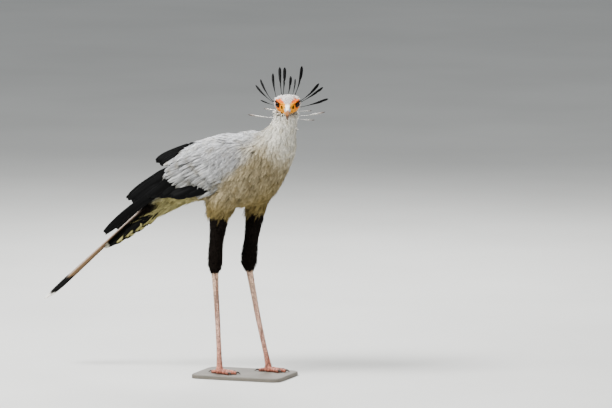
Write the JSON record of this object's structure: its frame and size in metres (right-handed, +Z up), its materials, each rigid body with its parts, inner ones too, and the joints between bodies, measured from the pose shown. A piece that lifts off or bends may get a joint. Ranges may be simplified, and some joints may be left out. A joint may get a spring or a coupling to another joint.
{
  "type": "secretary bird",
  "caption": "Life-size still model of a tall long-legged bird of prey standing with raised crest, folded wings and long drooping tail.",
  "frame": {"origin": "on the floor, under the middle of the bounding box", "axes": "+X the way the body faces, +Y towards the bird's left, +Z up"},
  "size_m": [0.9095, 0.2365, 0.9806],
  "materials": {
    "plumage": "soft grey and buff contour feathers",
    "wing_plumage": "grey coverts over black flight feathers",
    "tail_plumage": "black and grey tail feathers",
    "black_plumage": "short black leg feathers",
    "face_skin": "bare skin, slightly waxy",
    "bill_horn": "smooth horn",
    "leg_scale": "dry scaled skin",
    "claw_horn": "smooth dark horn",
    "eye": "wet and glossy",
    "stand_paint": "matt painted wood"
  },
  "bodies": {
    "root": {"torso": "plumage", "neck": "plumage", "head": "face_skin", "bill_upper": "bill_horn", "bill_lower": "bill_horn", "eye_L": "eye", "eye_R": "eye", "tail": "tail_plumage", "wing_L": "wing_plumage", "wing_R": "wing_plumage", "trousers_L": "black_plumage", "trousers_R": "black_plumage", "shank_L": "leg_scale", "shank_R": "leg_scale", "foot_L": "leg_scale", "foot_R": "leg_scale", "stand_base": "stand_paint", "claw_L_inner": "claw_horn", "claw_L_middle": "claw_horn", "claw_L_outer": "claw_horn", "claw_L_hind": "claw_horn", "claw_R_inner": "claw_horn", "claw_R_middle": "claw_horn", "claw_R_outer": "claw_horn", "claw_R_hind": "claw_horn"}
  },
  "joints": []
}
